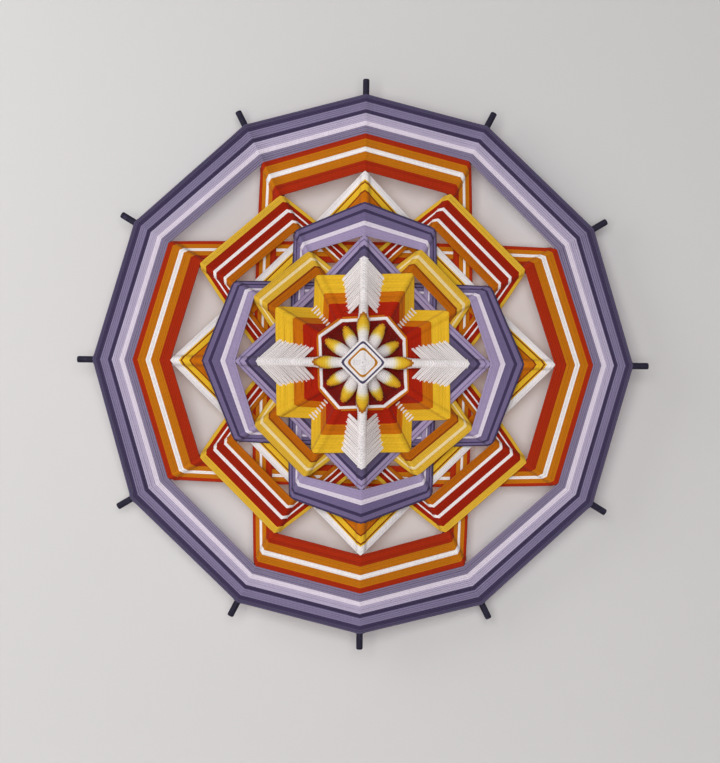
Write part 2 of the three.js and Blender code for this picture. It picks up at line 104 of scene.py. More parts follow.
MARK_ACROSS = (-0.6, -0.2, 0.2, 0.6)  # and those that later strands pass behind
STACK_GAP = 0.05  # between a run and what it passes behind
PACKED = 0.64  # least radius of a strand as a share of the step to the next round
THICK_WOBBLE = 0.04  # spread of the strands' thickness, as a share of it
RADIUS_WOBBLE = 0.1  # spread of the rounds' places on a spoke
BOW_WOBBLE = 0.18  # and of their long sides' bows
SHADE_SPREAD = 0.3  # of light and dark strands
LONG_BOW = (0.0175, 0.0175)  # outward bow of a long side, as a share of its radius
SMALL_BOX_BOW = (0.048, 0.095)  # of its first and last rounds
LARGE_BOX_BOW = (0.063, 0.088)

# Eye, petals, throat, star and feathers
EYE_FIRST = 1.1  # radius of its first round, and the step to each next one
EYE_PITCH = 1.42
EYE_R = 0.8
EYE_FOOT = 50  # degrees at which its runs leave the dowels
EYE_LASHED = 8.0  # smaller rounds lie on the crossing without going round a dowel
PETAL_R = (7.2, 7.1, 7.0)  # fattest radius on the front, middle and back crosses
PETAL_FATTEST = 0.52  # of the way along it
PETAL_ARCH = (15.0, 11.0, 11.0)  # how far the next yarn comes down the sides of a petal's tip
PETAL_BLUNT = (1.9, 1.4, 1.4)  # 1 is a pointed tip, and more is a rounder one
PETAL_ENDS = (55.0, 48.2, 45.4)  # on the front, middle and back crosses
PETAL_TURN = 1.7  # length of one turn of a coil
TIP_DYE = 0.9  # a petal's dye at its tip; that of the yarn beyond it is 1
NECK = 12.0  # plain white wrap below the first barb
BARBS = 18
BARB_R = 1.02
BARB_LEAD = (4.6, 6.9)  # how far the first and last barbs' rounds are ahead of the star's
BARB_PAIR = 1.0  # how far the two strands of a pair lean together half way
BARB_SWELL = 3  # power that keeps the lean to the middle of the way
BARB_CORE = RING - 0.4  # radius of the wrap that the barbs lie on
STAR_BOW = 0.012
STAR_PACKED = 0.66  # radius of its strands as a share of the step to the next round
STAR_PRESS = 0.05  # how far the star's crossing strands stand apart, as a share of a strand
STAR_SLIP = {"upright": 3.2, "level": 1.0}  # how far its corners lie past the middle of the dowels
FEATHER_END = 114.5  # radius of the last barb
THROAT_DEEP = 23.0  # how far the throat's red goes in under the petals
THROAT_FLOOR = -78  # degrees at which its deep rounds leave the dowels
THROAT_CLIMB = 4  # rounds over which it climbs from there to the front
RIM_OUT = 288.0  # radius of the whole winding
SMALL_HEXAGON_PINCH = 0.74  # its bands lie closer together on the spokes at its corners

# Dyed yarns, as they look in plain light, and a darker red that is painted shade deep in the throat
YARNS = {
    "white": "ece6e6", "cream": "e8d3a2", "yellow": "e4b62a", "straw": "daae34", "amber": "c1720c",
    "orange": "c46c08", "burnt_orange": "b46004", "ochre": "bb7a1a", "brown": "8a3c0c", "brick": "a62a0a",
    "red": "a82006", "deep_red": "9a1e04", "dark_red": "861610", "painted_shade_red": "7c150a", "slate": "72658a",
    "indigo": "413756", "purple": "827897", "purple_grey": "857a95", "heather": "a191b3",
    "lavender": "b4a9c1", "lilac": "ded3e0", "blue_grey": "524a66", "dusk": "615676",
}

# Petals' dyes, at shares of the way along a petal
PETAL_DYES = [(0.0, "ece6e6"), (0.22, "ece6de"), (0.4, "ead060"), (0.51, "e6bd2c"), (0.69, "e2b428")]
PETAL_EDGE = (0.82, 0.92)  # where on a petal its dark edge starts and ends
PETAL_BEYOND = 0.95  # where the yarn of the next wrap starts
# Colours of that edge: a darker amber on the front petals, and on the middle and back petals a darker
# yellow that is painted shade at the sides of the tip
PETAL_EDGE_COLOURS = {"petal": "b06c18", "low_petal": "d29a20"}
# The middle and back petals run into the throat's darker red, which is painted shade
PETAL_NEXT_YARNS = {"petal": "white", "low_petal": "painted_shade_red"}

# Paint, wall and backdrop
PAINT = "15121f"
PAINT_MOTTLE = "211c30"
PAINT_SCUFF = "3c3650"
WALL = "d2d0cf"
BACKDROP = "cfcdcc"

# The eye's rounds, from the inside out
EYE = [("white", 9), ("ochre", 2), ("white", 3), ("blue_grey", 2), ("white", 2)]

# Windings: [node's last word, width along a spoke, [(yarn, rounds), ...]], from the inside out
# The throat's deep red rounds are a darker red: painted shade in the recess under the petals
THROAT = [
    ["red", 4.4, [("painted_shade_red", 13), ("dark_red", 3)]], ["white", 5.4, [("white", 3), ("orange", 2)]],
]
STAR = [
    ["red", 17.5, [("red", 10)]], ["orange", 13.0, [("orange", 7)]],
    ["yellow", 22.0, [("yellow", 12)]],
]
SMALL_DIAMOND = [
    ["slate", 11.3, [("dusk", 4), ("indigo", 2)]],
    ["lavender", 10.2, [("heather", 3), ("slate", 1), ("heather", 2)]],
]
SMALL_BOX = [
    ["orange", 9.6, [("burnt_orange", 4), ("brown", 1)]],
    ["yellow", 16.8, [("straw", 4), ("cream", 2), ("straw", 4)]],
]
SMALL_HEXAGON = [
    ["lavender", 15.9, [("heather", 6), ("lilac", 3)]],
    ["slate", 20.0, [("slate", 5), ("indigo", 2), ("slate", 3), ("indigo", 1)]],
]
LARGE_BOX = [
    ["orange", 11.8, [("burnt_orange", 5), ("white", 2)]],
    ["red", 22.2, [("deep_red", 5), ("white", 2), ("deep_red", 5)]], ["yellow", 7.2, [("straw", 4)]],
]
LARGE_DIAMOND = [
    ["orange", 13.2, [("orange", 6), ("brown", 1)]],
    ["yellow", 11.2, [("yellow", 4), ("brown", 1), ("yellow", 1)]], ["white", 8.8, [("white", 5)]],
]
LARGE_HEXAGON = [
    ["inner_red", 11.8, [("brick", 6)]], ["inner_orange", 9.1, [("amber", 5)]],
    ["white", 5.4, [("white", 3)]],
    ["outer_orange", 8.6, [("amber", 5)]], ["outer_red", 5.4, [("brick", 3)]],
]
RIM = [
    ["purple_grey", 8.2, [("purple_grey", 4)]], ["lilac", 4.8, [("lilac", 3)]],
    ["lavender", 7.6, [("lavender", 4)]],
    ["purple", 11.6, [("indigo", 2), ("purple", 4)]], ["indigo", 7.5, [("indigo", 2), ("blue_grey", 2)]],
]

# The spokes of each winding
FRONT = [0, 3, 6, 9]
OCTAGON = [1, 2, 4, 5, 7, 8, 10, 11]
HEXAGONS = {"upright": [0, 1, 5, 6, 7, 11], "level": [2, 3, 4, 8, 9, 10]}
BOXES = {"rising": [1, 2, 7, 8], "falling": [4, 5, 10, 11]}
STARS = {"upright": [1, 5, 7, 11], "level": [2, 4, 8, 10]}


# Materials

def linear(code):
    """A hexadecimal display colour as linear red, green, blue and alpha."""
    channels = np.array([int(code[i:i + 2], 16) for i in (0, 2, 4)]) / 255
    low = channels / 12.92
    high = ((channels + 0.055) / 1.055) ** 2.4
    return (*np.where(channels < 0.04045, low, high), 1.0)


class Nodes:
    """A material's node tree, with short calls to add and join nodes."""

    def __init__(self, name):
        self.material = bpy.data.materials.new(name)
        self.material.use_nodes = True
        self.tree = self.material.node_tree
        self.shader = self.tree.nodes["Principled BSDF"]
        self.output = self.tree.nodes["Material Output"]

    def add(self, kind, inputs=(), **settings):
        node = self.tree.nodes.new(kind)
        for key, value in settings.items():
            setattr(node, key, value)
        for key, value in dict(inputs).items():
            self.put(node.inputs[key], value)
        return node

    def put(self, socket, value):
        if isinstance(value, bpy.types.NodeSocket):
            self.tree.links.new(value, socket)
        else:
            socket.default_value = value

    def maths(self, operation, a, b=0.0, c=0.0):
        return self.add("ShaderNodeMath", {0: a, 1: b, 2: c}, operation=operation).outputs[0]

    def mix(self, factor, a, b, blend="MIX"):
        node = self.add("ShaderNodeMix", data_type="RGBA", blend_type=blend)
        self.put(node.inputs[0], factor)
        self.put(node.inputs[6], a)
        self.put(node.inputs[7], b)
        return node.outputs[2]

    def set(self, **values):
        for key, value in values.items():
            self.put(self.shader.inputs[key.replace("_", " ")], value)


PLIES = 3
PLY_LENGTH = 5.2  # of one turn of the twist
PLY_GROOVE_SHADE = (0.1, 0.92)  # how much each pattern lightens the yarn, and the light at its lowest; the plies' pattern is painted shade in the grooves between them
FUZZ_LIGHT = (0.14, 0.93)
FADE_LIGHT = (0.12, 0.94)
SHADE_LIGHT = (0.12, 1.0)
FUZZ_HEIGHT = 0.35  # of the fuzz beside the plies


def spun(nodes, colour):
    """Wool: the plies' twist runs round the strand as sin(2 pi (length / ply + plies * turn)), paints shade
    into the grooves between the plies and lifts the bump; each strand is a little lighter or darker at
    random, and a fine noise makes the fuzz."""
    uv = nodes.add("ShaderNodeUVMap", uv_map="twist").outputs[0]
    split = nodes.add("ShaderNodeSeparateXYZ", {0: uv}).outputs
    turn = nodes.maths("MULTIPLY_ADD", split[0], 1 / PLY_LENGTH, nodes.maths("MULTIPLY", split[1], PLIES))
    wave = nodes.maths("SINE", nodes.maths("MULTIPLY", turn, math.tau))
    ply = nodes.maths("MULTIPLY_ADD", wave, 0.5, 0.5)
    fuzz = nodes.add("ShaderNodeTexNoise", {"Scale": 1900.0, "Detail": 3.0, "Roughness": 0.65}).outputs[0]
    fade = nodes.add("ShaderNodeTexNoise", {"Scale": 34.0, "Detail": 2.0}).outputs[0]
    shade = nodes.add("ShaderNodeAttribute", attribute_name="shade").outputs["Fac"]
    # The plies' term is painted shade in the grooves between them; the others vary the tone at random
    light = nodes.maths("MULTIPLY_ADD", ply, *PLY_GROOVE_SHADE)
    for pattern, gain in ((fuzz, FUZZ_LIGHT), (fade, FADE_LIGHT), (shade, SHADE_LIGHT)):
        light = nodes.maths("MULTIPLY", light, nodes.maths("MULTIPLY_ADD", pattern, *gain))
    tint = nodes.add("ShaderNodeCombineColor", {0: light, 1: light, 2: light}).outputs[0]
    height = nodes.maths("MULTIPLY_ADD", fuzz, FUZZ_HEIGHT, ply)
    bump = nodes.add("ShaderNodeBump", {"Strength": 0.35, "Distance": 0.0003, "Height": height}).outputs[0]
    nodes.set(Base_Color=nodes.mix(1.0, colour, tint, "MULTIPLY"), Normal=bump)
    nodes.set(Roughness=0.9, Specular_IOR_Level=0.14, Sheen_Weight=0.07, Sheen_Roughness=0.4)


def yarn_material(name, code):
    nodes = Nodes(f"{name}_yarn")
    spun(nodes, linear(code))
    return nodes.material


def petal_material(name):
    """Yarn dyed along a petal: white at the hub, through yellow, to the darker edge of its tip and the yarn
    beyond it.
    On the middle and back petals that edge and that yarn are painted shade."""
    nodes = Nodes(f"{name}_yarn")
    dye = nodes.add("ShaderNodeAttribute", attribute_name="dye").outputs["Fac"]
    ramp = nodes.add("ShaderNodeValToRGB", {0: dye})
    edge = [(place, PETAL_EDGE_COLOURS[name]) for place in PETAL_EDGE]
    stops = PETAL_DYES + edge + [(PETAL_BEYOND, YARNS[PETAL_NEXT_YARNS[name]])]
    while len(ramp.color_ramp.elements) < len(stops):
        ramp.color_ramp.elements.new(0.5)
    for element, (place, code) in zip(ramp.color_ramp.elements, stops):
        element.position = place
        element.color = linear(code)
    spun(nodes, ramp.outputs[0])
    return nodes.material


SCUFF_GAIN = 1.4
SCUFF_SHARPNESS = 7.0  # more leaves fewer scuffs


def paint_material():
    """Paint on wood: near-black indigo with a fine mottle, which also roughens it, and paler scuffs."""
    nodes = Nodes("dark_paint")
    place = nodes.add("ShaderNodeTexCoord").outputs["Object"]
    mottle = nodes.add("ShaderNodeTexNoise", {"Vector": place, "Scale": 420.0, "Detail": 4.0}).outputs[0]
    patches = {"Vector": place, "Scale": 150.0, "Detail": 6.0, "Roughness": 0.7}
    scuffs = nodes.add("ShaderNodeTexNoise", patches).outputs[0]
    worn = nodes.maths("SMOOTH_MIN", nodes.maths("MULTIPLY", scuffs, SCUFF_GAIN), 1.0, 0.1)
    worn = nodes.maths("POWER", worn, SCUFF_SHARPNESS)
    colour = nodes.mix(mottle, linear(PAINT), linear(PAINT_MOTTLE))
    colour = nodes.mix(worn, colour, linear(PAINT_SCUFF))
    bump = nodes.add("ShaderNodeBump", {"Strength": 0.25, "Distance": 0.0004, "Height": mottle}).outputs[0]
    nodes.set(Base_Color=colour, Normal=bump, Roughness=nodes.maths("MULTIPLY_ADD", mottle, 0.2, 0.55))
    nodes.set(Specular_IOR_Level=0.18)
    return nodes.material


def wall_material():
    """Pale matt wall, which is clear from behind so that the ornament's back can be seen and lit."""
    nodes = Nodes("pale_wall")
    place = nodes.add("ShaderNodeTexCoord").outputs["Object"]
    grain = nodes.add("ShaderNodeTexNoise", {"Vector": place, "Scale": 260.0, "Detail": 3.0}).outputs[0]
    bump = nodes.add("ShaderNodeBump", {"Strength": 0.06, "Distance": 0.0006, "Height": grain}).outputs[0]
    nodes.set(Base_Color=linear(WALL), Normal=bump, Roughness=0.9, Specular_IOR_Level=0.2)
    behind = nodes.add("ShaderNodeNewGeometry").outputs["Backfacing"]
    unseen = nodes.maths("MAXIMUM", behind, nodes.add("ShaderNodeLightPath").outputs["Is Shadow Ray"])
    clear = nodes.add("ShaderNodeBsdfTransparent").outputs[0]
    both = nodes.add("ShaderNodeMixShader", {0: unseen, 1: nodes.shader.outputs[0], 2: clear}).outputs[0]
    nodes.put(nodes.output.inputs["Surface"], both)
    return nodes.material


# Places and directions

def axis_of(spoke):
    """The direction along a spoke, away from the hub."""
    return np.array([SIN[spoke], COS[spoke], 0.0])


def aside_of(spoke):
    """The direction square to a spoke, clockwise from it."""
    return np.array([COS[spoke], -SIN[spoke], 0.0])


def spoke_point(spoke, radius, side, depth):
    """The point at a radius along a spoke, a side step clockwise from it and a depth in front of it."""
    radius, side, depth = np.broadcast_arrays(radius, side, depth)
    u = radius * SIN[spoke] + side * COS[spoke]
    v = radius * COS[spoke] - side * SIN[spoke]
    return np.stack([u, v, LEVEL[spoke] + depth], axis=-1)


def in_frame(points):
    """Points (u, v, w) in millimetres as the frame's (X, Y, Z) in metres."""
    return np.stack([points[:, 0], -points[:, 2], points[:, 1]], axis=-1) * MM


def unit(vectors):
    """Vectors made one long."""
    return vectors / np.linalg.norm(vectors, axis=-1, keepdims=True)


# Strands

class Skein:
    """The strands of one piece, gathered as arrays until its mesh is made."""

    def __init__(self):
        self.points = []
        self.faces = []
        self.twist = []
        self.shade = []
        self.dye = []
        self.yarn = []
        self.total = 0

    def lay(self, path, outward, yarns, closed=True, radius=YARN_R, dye=0.0):
        """Tubes along a stack of paths. Round each path's point goes a ring p + r (N cos a + B sin a),
        where N is the outward direction made square to the path, longer at a mitred corner, and B is square
        to both."""
        count, length, _ = path.shape
        if closed:
            ahead = np.roll(path, -1, axis=1)
            tangent = unit(ahead - np.roll(path, 1, axis=1))
        else:
            ahead = path[:, 1:]
            tangent = unit(np.gradient(path, axis=1))
        normal = unit(outward - np.sum(outward * tangent, axis=-1, keepdims=True) * tangent)
        across = np.cross(tangent, normal)
        if closed:
            half_turn = np.sum(tangent * unit(ahead - path), axis=-1, keepdims=True)
            normal = normal / np.clip(half_turn, LEAST_MITRE, 1)
        turn = np.arange(STRAND_SIDES) * math.tau / STRAND_SIDES
        thick = radius * (1 + THICK_WOBBLE * chance.standard_normal((count, 1, 1, 1)))
        ring = normal[:, :, None] * np.cos(turn)[:, None] + across[:, :, None] * np.sin(turn)[:, None]
        points = path[:, :, None] + thick * ring

        index = self.total + np.arange(count * length * STRAND_SIDES).reshape(count, length, STRAND_SIDES)
        here = index if closed else index[:, :-1]
        there = np.roll(index, -1, axis=1) if closed else index[:, 1:]
        quads = np.stack([here, np.roll(here, -1, 2), np.roll(there, -1, 2), there], axis=-1)
        steps = np.linalg.norm(ahead - (path if closed else path[:, :-1]), axis=-1)
        along = np.concatenate([np.zeros((count, 1)), np.cumsum(steps, axis=1)], axis=1)
        low = np.broadcast_to(along[:, :-1, None], here.shape)
        high = np.broadcast_to(along[:, 1:, None], here.shape)
        round_here = np.broadcast_to(np.arange(STRAND_SIDES) / STRAND_SIDES, here.shape)
        round_next = round_here + 1 / STRAND_SIDES
        twist = np.stack([low, round_here, low, round_next, high, round_next, high, round_here], axis=-1)
        yarn = np.broadcast_to(np.array(yarns).reshape(-1, 1, 1), here.shape)
        self.faces.append(quads.reshape(-1, 4))
        self.twist.append(twist.reshape(-1, 4, 2))
        self.yarn.append(yarn.ravel())
        if not closed:
            self.close_ends(index, yarns)
        self.points.append(points.reshape(-1, 3))
        self.shade.append(np.repeat(SHADE_SPREAD * chance.standard_normal(count), length * STRAND_SIDES))
        self.dye.append(np.broadcast_to(np.asarray(dye).reshape(1, -1, 1), index.shape).ravel())
        self.total += index.size

    def close_ends(self, index, yarns):
        """Each end's ring of six points becomes two four-sided faces that look outwards."""
        first = index[:, 0]
        last = index[:, -1, ::-1]
        rings = np.concatenate([first[:, ::-1], last[:, ::-1]])
        faces = np.concatenate([rings[:, [0, 1, 2, 3]], rings[:, [0, 3, 4, 5]]])
        self.faces.append(faces)
        self.twist.append(np.zeros((len(faces), 4, 2)))
        self.yarn.append(np.resize(np.array(yarns), len(faces)))

    def make(self, name, nodes, slot):
        """Turns the strands into one mesh object that stands for its CAD nodes."""
        mesh = bpy.data.meshes.new(name)
        mesh.from_pydata(in_frame(np.concatenate(self.points)), [], np.concatenate(self.faces))
        yarns = np.concatenate(self.yarn)
        used = sorted(set(yarns))
        for yarn in used:
            mesh.materials.append(MATERIALS[yarn])
        mesh.polygons.foreach_set("material_index", np.searchsorted(used, yarns).astype(np.int32))
        mesh.uv_layers.new(name="twist").data.foreach_set("uv", np.concatenate(self.twist).ravel())
        for label, values in (("shade", self.shade), ("dye", self.dye)):
            attribute = mesh.attributes.new(label, "FLOAT", "POINT")
            attribute.data.foreach_set("value", np.concatenate(values).astype(np.float32))
        mesh.shade_smooth()
        mesh.update()
        set_piece(mesh, nodes)


def set_piece(mesh, nodes):
    """Puts a mesh into the scene in place of its CAD nodes."""
    piece = bpy.data.objects.new(mesh.name, mesh)
    bpy.context.scene.collection.objects.link(piece)
    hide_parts(*nodes)
    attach(piece, "root")


# Windings

OPEN = 1000.0  # depth where nothing has been wound
CELL = 0.5
CELLS = 1320  # along each side of the grid, which is wider than the ornament


class Underside:
    """The rear of what is wound so far, as a depth for each cell of a grid in plan."""

    def __init__(self):
        self.depth = np.full((CELLS, CELLS), OPEN)

    @staticmethod
    def cells(plan):
        where = np.rint(plan / CELL).astype(int) + CELLS // 2
        return where[..., 0], where[..., 1]

    def above(self, plan):
        return self.depth[self.cells(plan)]

    def cover(self, points):
        np.minimum.at(self.depth, self.cells(points[..., :2]), points[..., 2])

    def take_in(self, other):
        self.depth = np.minimum(self.depth, other.depth)


def spoke_rear(plan, own):
    """The rear of the wrapped spokes over a point, each a round bar. A run's own two spokes are left
    out."""
    along = plan[..., :1] * SIN + plan[..., 1:] * COS
    aside = plan[..., :1] * COS - plan[..., 1:] * SIN
    thick = np.where(along < PETAL_ENDS[0], max(PETAL_R), WRAPPED)
    hit = (along > 0) & (np.abs(aside) < thick) & ~np.isin(SPOKES, own)
    rear = LEVEL - np.sqrt(np.maximum(thick ** 2 - aside ** 2, 0))
    return np.where(hit, rear, OPEN).min(axis=-1)


def taut(depth):
    """The taut line below a row of depths: the straight lines between the corners of its lower hull."""
    corners = []
    for x, y in enumerate(depth):
        if y > OPEN / 2:
            continue
        while len(corners) > 1:
            (ax, ay), (bx, by) = corners[-2:]
            if (bx - ax) * (y - ay) > (by - ay) * (x - ax):
                break
            corners.pop()
        corners.append((x, y))
    return np.interp(np.arange(len(depth)), *zip(*corners))


def pull_behind(plan, ends, normal, wound, own, press):
    """Depth along runs that pass behind what is wound: below the rear of whatever lies over each place,
    looked up at a few places across the strand, and then pulled taut between the ends."""
    ceiling = np.full(plan.shape[:2], OPEN)
    for across in LOOK_ACROSS:
        spot = plan + across * YARN_R * normal
        for layer in wound:
            ceiling = np.minimum(ceiling, layer.above(spot))
        ceiling = np.minimum(ceiling, spoke_rear(spot, own))
    depth = ceiling - press * YARN_R - STACK_GAP
    depth[:, 0] = ends[0]
    depth[:, -1] = ends[1]
    return np.array([taut(row) for row in depth])


def run(start, end, radii, degrees, bow, over, wound, behind, press, slip):
    """Runs of yarn from one spoke to another, one for each round, as a row of close points between the two
    rings and the ring arcs at each end. In plan each is a straight or bowed line between its corners on the
    two spokes. In depth it comes down the first ring to the given angle, goes behind what is wound, and
    climbs the next ring. Also returns the outward direction."""
    first = spoke_point(start, radii[start], slip[start], 0)[:, None]
    last = spoke_point(end, radii[end], slip[end], 0)[:, None]
    chord = unit((last - first)[..., :2])
    normal = np.stack([-chord[..., 1], chord[..., 0]], axis=-1)
    foot = np.broadcast_to(np.radians(degrees), len(first))[:, None, None]
    share = np.linspace(0, 1, ARC_POINTS)[1:, None]

    def arc(corner, spoke, crest, way):
        axis = axis_of(spoke)
        aside = aside_of(spoke)
        slope = (chord @ axis[:2]) / (chord @ aside[:2])
        steepest = STEEPEST * np.minimum(radii[spoke] / CREASED, 1)[:, None]
        step = way * (aside + axis * np.clip(slope, -steepest, steepest)[..., None])
        angle = math.acos(way * crest / RING) * (1 - share) + foot * share
        travel = RING * np.cos(angle) - way * crest
        return corner + step * travel + np.array([0, 0, RING]) * np.sin(angle)

    down = arc(first, start, slip[start], 1)
    climb = arc(last, end, slip[end], -1)[:, ::-1]
    longest = np.linalg.norm((last - first)[..., :2], axis=-1).max()
    share_run = np.linspace(0, 1, int(longest / SAMPLE) + 2)[:, None]
    path = down[:, -1:] * (1 - share_run) + climb[:, :1] * share_run
    bows = np.broadcast_to(bow, len(first))[:, None, None]
    wobble = BOW_WOBBLE * chance.standard_normal((len(first), 1, 1)) if np.any(bow) else 0.0
    swell = (4 * share_run * (1 - share_run)) ** (BARB_SWELL if over else 1)
    path[..., :2] += normal * (bows * radii[start][:, None, None] + wobble) * swell
    if behind:
        ends = path[:, 0, 2], path[:, -1, 2]
        path[..., 2] = pull_behind(path[..., :2], ends, normal, wound, (start, end), press)
    return path, down, climb, normal


def rear_arc(spoke, leave, arrive):
    """Arcs of yarn round the rear of a dowel, from where a run leaves it to where the last run came in."""
    aside = aside_of(spoke)
    axis = axis_of(spoke)
    start, stop = (np.arctan2(p[:, 2] - LEVEL[spoke], p @ aside) for p in (leave, arrive))
    along, back_along = (p @ axis for p in (leave, arrive))
    stop = np.where(stop < 0, stop, stop - math.tau)
    share = np.linspace(0, 1, REAR_ARC_POINTS)
    angle = start[:, None] + (stop - start)[:, None] * share
    place = along[:, None] + (back_along - along)[:, None] * share
    path = spoke_point(spoke, place, RING * np.cos(angle), RING * np.sin(angle))
    return path, np.broadcast_to(axis, path.shape)


def root_of(start, end, over):
    """Where a run leaves its dowel: the more spokes it skips, the further round to the rear."""
    skipped = (end - start - 1) % len(SPOKES)
    if skipped == 0 or over:
        return "front"
    return "side" if skipped == 1 else "rear"


def wind_rounds(skein, spokes, radii, yarns, wound, cover, bow=0.0, over=False, behind=True, lashed=True,
                press=1.0, radius=YARN_R, slip=None, degrees=None):
    """Winds rounds of yarn: over the front of each spoke, then on to the next one. The rear of each ring
    is laid as an arc of its own."""
    slip = slip or dict.fromkeys(spokes, 0.0)
    runs = []
    roots = []
    for i, spoke in enumerate(spokes):
        after = spokes[(i + 1) % len(spokes)]
        root = root_of(spoke, after, over)
        hidden = behind and (root != "front" or over)
        bent = bow if root == "rear" or over else 0.0
        foot = ROOT_DEGREES[root] if degrees is None else degrees
        runs.append(run(spoke, after, radii, foot, bent, over, wound, hidden, press, slip))
        roots.append("rear" if over and hidden else root)
    paths = []
    leans = []
    for i, spoke in enumerate(spokes):
        path, down, climb, normal = runs[i]
        crest = math.sqrt(RING ** 2 - slip[spoke] ** 2)
        apex = spoke_point(spoke, radii[spoke], slip[spoke], crest)[:, None]
        picked = np.linspace(0, path.shape[1] - 1, STATIONS[roots[i]]).round().astype(int)[1:-1]
        strand = np.concatenate([down, path[:, picked], climb], axis=1)
        paths += [apex, strand]
        outward = np.concatenate([normal, np.zeros_like(normal[..., :1])], axis=-1)
        leans += [np.broadcast_to(axis_of(spoke), apex.shape), np.broadcast_to(outward, strand.shape)]
        if cover is not None:
            cover_run(cover, path, normal, press)
        if lashed:
            arrive = runs[i - 1][2][:, 0]
            skein.lay(*rear_arc(spoke, down[:, -1], arrive), yarns, closed=False, radius=radius)
    skein.lay(np.concatenate(paths, axis=1), np.concatenate(leans, axis=1), yarns, radius=radius)


def cover_run(cover, path, normal, press):
    """Marks the rear of a run's strands on the grid, at a few places across each."""
    for across in MARK_ACROSS:
        rear = path - np.array([0, 0, press * YARN_R])
        rear[..., :2] += across * YARN_R * normal
        cover.cover(rear)


def yarn_list(stripes):
    """The yarn of each round, from (yarn, rounds) pairs."""
    return [yarn for yarn, rounds in stripes for _ in range(rounds)]


def band_radii(spokes, inner, width, scale, rounds):
    """The radius of every round on each spoke: even steps across the band, each a little off."""
    steps = (np.arange(rounds) + 0.5) / rounds
    wobble = RADIUS_WOBBLE * chance.standard_normal((len(spokes), rounds))
    return {s: inner[s] + width * scale[s] * steps + w for s, w in zip(spokes, wobble)}


# How far out each spoke is wound, and the rear of all that is wound so far
filled = {spoke: PETAL_ENDS[spoke % 3] for spoke in SPOKES}
wound_before = Underside()


def wind(name, spokes, bands, bow=(0.0, 0.0), pinch=1.0, outer=None):
    """Winds all the bands of one winding behind what is wound before it, each band a piece of its own. The
    long sides bow out by a share that goes evenly from its first round to its last."""
    total = sum(width for _, width, _ in bands)
    bows = iter(np.linspace(*bow, sum(len(yarn_list(stripes)) for _, _, stripes in bands)))
    scale = {s: 1.0 if s % 3 == 0 else pinch for s in spokes}
    if outer:
        scale = {s: (outer - filled[s]) / total for s in spokes}
    cover = Underside()
    for word, width, stripes in bands:
        yarns = yarn_list(stripes)
        skein = Skein()
        radii = band_radii(spokes, filled, width, scale, len(yarns))
        thick = max(YARN_R, PACKED * width / len(yarns))
        bent = np.array([next(bows) for _ in yarns])
        wind_rounds(skein, spokes, radii, yarns, [wound_before], cover, bent, radius=thick)
        node = f"{name}_{word}"
        skein.make(node, [node], slot_of(node))
        for s in spokes:
            filled[s] += width * scale[s]
    wound_before.take_in(cover)


def slot_of(node):
    """The material slot that the record gives a node."""
    return next(row["material_slot"] for row in frame["record"]["subparts"] if row["node"] == node)


# Eye

def wind_eye():
    """Square rounds over the front cross. The small ones are the eye's core."""
    yarns = yarn_list(EYE)
    radius = EYE_FIRST + EYE_PITCH * np.arange(len(yarns))
    for node, chosen in (("eye_core", radius < EYE_LASHED), ("eye_rim", radius >= EYE_LASHED)):
        skein = Skein()
        rows = radius[chosen]
        radii = {s: rows + RADIUS_WOBBLE * chance.standard_normal(len(rows)) for s in FRONT}
        picked = [yarn for yarn, keep in zip(yarns, chosen) if keep]
        wind_rounds(skein, FRONT, radii, picked, [], None, over=True, behind=False,
                    lashed=node == "eye_rim", radius=EYE_R, degrees=EYE_FOOT)
        skein.make(node, [node], "white_yarn")
    return radius[-1] + EYE_PITCH / 2


# Petals and feather necks

def coil(skein, spoke, start, end, swell, yarn, dye=None):
    """Yarn wound round a spoke as a helix whose radius follows a swell along it."""
    turns = round((end - start) / PETAL_TURN)
    share = np.linspace(0, 1, turns * COIL_POINTS + 1)
    angle = math.tau * turns * share
    along = start + (end - start) * share
    ring = swell(share)
    path = spoke_point(spoke, along, ring * np.sin(angle), ring * np.cos(angle))[None]
    outward = np.broadcast_to(axis_of(spoke), path.shape)
    skein.lay(path, outward, [yarn], closed=False, dye=dye(along, angle) if dye else 0.0)


def even(ring):
    """The swell of a plain wrap, which is the same all along."""
    return lambda share: np.full_like(share, ring)


def spindle(fattest):
    """A petal's swell along its length: a half cosine up to its fattest place and another one down."""
    def swell(share):
        rise = np.clip(share / PETAL_FATTEST, 0, 1)
        fall = np.clip((share - PETAL_FATTEST) / (1 - PETAL_FATTEST), 0, 1)
        return RING + (fattest - YARN_R - RING) * (np.cos(fall * math.pi) - np.cos(rise * math.pi)) / 2
    return swell


def wind_petals(eye_end):
    """A petal's dye grows evenly from 0 at the eye to its tip, which is an arch: the yarn of the next wrap,
    a dye of 1, comes down the sides by the arch's length times a power of the sine of half the angle from
    the front. Just below the arch lies a darker edge; on the middle and back petals that edge and the next
    wrap's darker red are painted shade."""
    def arched(cross):
        def dye(along, angle):
            arch = np.abs(np.sin(angle / 2) * math.sqrt(2)) ** PETAL_BLUNT[cross]
            tip = PETAL_ENDS[cross] - PETAL_ARCH[cross] * arch
            share = (along - eye_end) / (tip - eye_end)
            return np.where(share < 1, TIP_DYE * np.maximum(share, 0), 1.0)
        return dye

    start = eye_end - 2 * EYE_PITCH
    for spoke in FRONT:
        skein = Skein()
        coil(skein, spoke, start, PETAL_ENDS[0], spindle(PETAL_R[0]), "petal", arched(0))
        node = f"petal_{spoke or len(SPOKES)}"
        skein.make(node, [node], "yellow_yarn")
    for cross, place in ((1, "middle"), (2, "back")):
        skein = Skein()
        dye = arched(cross)
        for spoke in SPOKES[cross::3]:
            coil(skein, spoke, 2 * WRAPPED, PETAL_ENDS[cross], spindle(PETAL_R[cross]), "low_petal", dye)
        skein.make(f"petals_{place}", [f"petals_{place}"], "yellow_yarn")


# Throat

